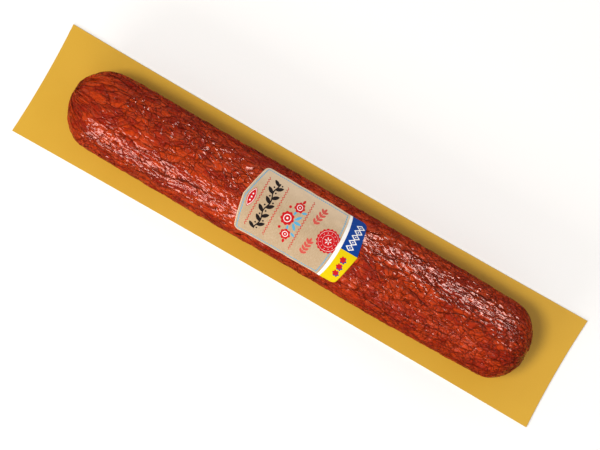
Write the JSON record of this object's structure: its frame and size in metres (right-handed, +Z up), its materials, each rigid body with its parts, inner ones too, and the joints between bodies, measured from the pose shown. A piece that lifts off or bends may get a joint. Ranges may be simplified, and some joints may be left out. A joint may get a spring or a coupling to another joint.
{
  "type": "cured sausage on a card",
  "caption": "Whole dry-cured sausage with rounded, gathered ends and wrinkled casing, wearing a paper label and lying on a flat gold backing card.",
  "frame": {"origin": "middle of the card's underside, on the surface the object rests on", "axes": "+X along the sausage from its gathered end to its blunt end, +Y across it, +Z up out of the card through the label"},
  "size_m": [0.338, 0.07, 0.0477],
  "materials": {
    "casing": "thin dried casing over red cured meat, wrinkled, satin gloss",
    "label_paper": "uncoated kraft paper with printed ornament, matte",
    "gold_card": "gold film laminated on card, soft sheen"
  },
  "bodies": {
    "root": {"sausage": "casing", "paper_label": "label_paper", "backing_card": "gold_card"}
  },
  "joints": []
}
